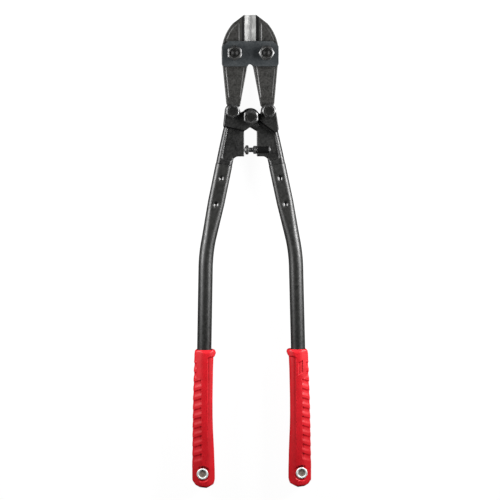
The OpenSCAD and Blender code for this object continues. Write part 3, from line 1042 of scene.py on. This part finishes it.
def grip_distance(badge):
    """Moulded grip about the lower tube; badge adds the bare recess of the right one's front."""
    top, end, half_t = GRIP_TOP, GRIP_END, MID_Z
    outline = polygon([
        (61.5, top), (57.8, top - 1.6), (56.7, top - 5), (59.4, top - 11.5), (60.3, top - 32),
        (61.2, top - 80), (61.2, top - 128), (59.9, top - 176), (58.6, top - 200),
        (58.2, top - 209.3), (61.5, top - 217), (73.6, end), (84, end + 1.4),
        (91, end + 4.8), (95.8, end + 11.2), (95.9, top - 200), (94.9, top - 128),
        (93.9, top - 80), (92.2, top - 32), (91.4, top - 8), (90.5, top - 2), (87.5, top)])
    (axis_x, axis_y), tilt = tube_path(RIVET_S)
    label = polygon([(75.2, top - 21.5), (81.8, top - 18), (81.8, top - 36.5), (75.2, top - 41)])
    land = polygon([(88.2, top - 19), (110, top - 19), (110, end + 30), (79.4, end + 30),
                    (79.4, top - 49), (86.4, top - 46), (88.2, top - 43)])
    rivet = circle((axis_x, axis_y), 12.2)
    pitch, slant, inner, inner_of_short = 14.9, math.tan(math.radians(20)), 81.3, 88.6
    first = top - 47.3

    def facet(x, y):
        """Distance to the sunk strip along the inner side, rounded at its upper corner."""
        return smooth_max(x - 70.6, y - (top - 11.2), 5)

    def pockets(x, y):
        """Depth of the pockets: a steep upper edge, a level floor and a ramp; two are short."""
        turn_no = (first - y - (x - inner) * slant) / pitch
        share = turn_no - np.floor(turn_no)
        level = np.interp(share, (0, 0.05, 0.19, 0.42, 0.68, 1), (0, 0.75, 1, 0.85, 0, 0))
        start = np.where(turn_no > 0, inner, inner_of_short)
        inside = (turn_no > -2) & (turn_no < 9) & (x > start)
        outward = np.interp(x - start, (0, 1.6, 9, 14), (1.4, 1, 1, 0.5))
        return np.where(inside, 0.9 * level * outward, 0)

    def distance(x, y, z):
        h = np.abs(z - MID_Z)
        u = x - axis_x + (y - axis_y) * math.tan(tilt)
        body = smooth_max(outline(x, y), h - half_t, 4)
        flank = (u - 3.4) * 0.53 + (h - half_t) * 0.848
        cheek = (-u - 9.5) * 0.6 + (h - half_t) * 0.8
        body = smooth_max(smooth_max(body, flank, 2.5), cheek, 2.5)
        body = smooth_max(body, np.hypot(u, h) - 21, 2)
        body = smooth_max(body, (y - top) * 0.62 + (h - half_t) * 0.78 + 2.5, 0.8)
        sunk = np.clip(0.5 - facet(x, y) / 0.8, 0, 1) * np.clip((y - end - 55) / 60, 0, 1)
        level = 0.25 * np.clip(0.5 + land(x, y) / 1.2, 0, 1)
        body = body + 1.4 * sunk + pockets(x, y) + level
        if badge:
            body = body + np.where(z > MID_Z, np.clip(0.5 - label(x, y) / 0.8, 0, 1), 0)
        body = smooth_max(body, np.minimum(h - half_t + 2, -rivet(x, y)), 0.8)
        mouth = np.clip(y - top + 1.8, 0, 1.2)
        bore = np.maximum(np.hypot(u, z - MID_Z) - TUBE_D / 2 - 0.2 - mouth, end + 14 - y)
        shaft = np.hypot(x - axis_x, y - axis_y) - 5.1
        return np.maximum(body, -np.minimum(bore, shaft))

    return distance


def grips(material):
    """Both grips; only the right one has the recess."""
    low, high = box_mm("grip_right")
    for node, left in (("grip_right", False), ("grip_left", True)):
        obj = mesh_from_distance("grip", grip_distance(not left), low, high, 0.75)
        place(obj, node, material, 45, left)


def rivets(materials):
    """Hollow-faced rivets with a rolled ring on each side."""
    face = MID_Z - 2
    half = [(5, 0), (5, face), (9.2, face), (9.2, face + 0.5), (8.9, face + 1.0),
            (8.3, face + 1.35), (7.5, face + 1.5), (6.8, face + 1.4), (6.2, face + 1.1),
            (5.9, face + 0.7), (5.8, face + 0.6), (2, face + 0.6), (0, face + 0.65)]
    (x, y), _ = tube_path(RIVET_S)
    for node, left in (("grip_rivet_right", False), ("grip_rivet_left", True)):
        obj = lathe("rivet", [(r, -z) for r, z in half[:0:-1]] + half)
        faces = obj.data.polygons
        core = [math.hypot(*p.center.xy) < 5.8 and abs(p.center.z) > face + 0.5 for p in faces]
        faces.foreach_set("material_index", core)
        place(turn(obj, Matrix.Translation((x, y, MID_Z))), node, materials, 50, left)


# ---- Studio ----

def floor():
    """Plain pale floor that the tool rests on."""
    f = Finish("floor_paint")
    patches = f.mix(f.noise(400, 3), (0.060, 0.060, 0.060), (0.066, 0.066, 0.066))
    f.set(base_color=patches, roughness=0.9, specular_ior_level=0)
    f.set(emission_color=(1, 1, 1, 1), emission_strength=0.96)
    size, level = 14, -0.0002
    mesh = bpy.data.meshes.new("floor")
    corners = [(-size, -size, level), (size, -size, level), (size, size, level),
               (-size, size, level)]
    mesh.from_pydata(corners, [], [(0, 1, 2, 3)])
    obj = add_object("floor", mesh)
    mesh.materials.append(f.material)
    obj.visible_glossy = False
    obj.visible_diffuse = False


def softbox(name, at, width, length, power):
    """Rectangular light lying along the tool, turned towards its axis."""
    lamp = bpy.data.lights.new(name, "AREA")
    lamp.shape = "RECTANGLE"
    lamp.size, lamp.size_y, lamp.energy = width, length, power
    obj = bpy.data.objects.new(name, lamp)
    bpy.context.scene.collection.objects.link(obj)
    obj.location = at
    obj.rotation_euler = (0, math.atan2(at[0], at[2]), 0)


def lights():
    """Faint sky, and a soft strip on each side of the tool, the right one stronger."""
    world = bpy.data.worlds.new("studio")
    world.use_nodes = True
    shade = world.node_tree.nodes["Background"]
    shade.inputs["Color"].default_value = (0.9, 0.95, 1, 1)
    shade.inputs["Strength"].default_value = 0.03
    bpy.context.scene.world = world
    for name, x, power in (("left_strip", -0.62, 14.5), ("right_strip", 0.62, 20.8)):
        softbox(name, (x, 0.33, 0.30), 0.25, 0.72, power)


def camera():
    """Almost straight down on the front, from a little left and towards the jaws."""
    target, away = Vector((-0.00133, 0.00285, 0.018)), 4.0
    lean = math.sin(math.radians(3))
    back = Vector((-lean, lean, math.sqrt(1 - 2 * lean * lean)))
    up = (Vector((0, 1, 0)) - back.y * back).normalized()
    axes = Matrix((up.cross(back), up, back)).transposed().to_4x4()
    data = bpy.data.cameras.new("camera")
    data.sensor_width, data.lens = 36, 179.4
    data.clip_start, data.clip_end = 0.1, 50
    obj = bpy.data.objects.new("camera", data)
    bpy.context.scene.collection.objects.link(obj)
    roll = Matrix.Rotation(math.radians(-0.21), 4, "Z")
    obj.matrix_world = Matrix.Translation(target + away * back) @ axes @ roll
    bpy.context.scene.camera = obj


def build():
    """All pieces, then the studio."""
    straps(strap_steel())
    jaws([forged_steel(), ground_steel(), shoulder_black()])
    black = fastener_black()
    fasteners(bolt_black(), black)
    arms([arm_black(), turned_black_and_painted_shade()])
    stop(black)
    tubes((tube_paint(), burnished_paint()))
    grips(grip_red())
    rivets([zinc(), rivet_core()])
    floor()
    lights()
    camera()
    bpy.context.scene.view_settings.view_transform = "Standard"


build()
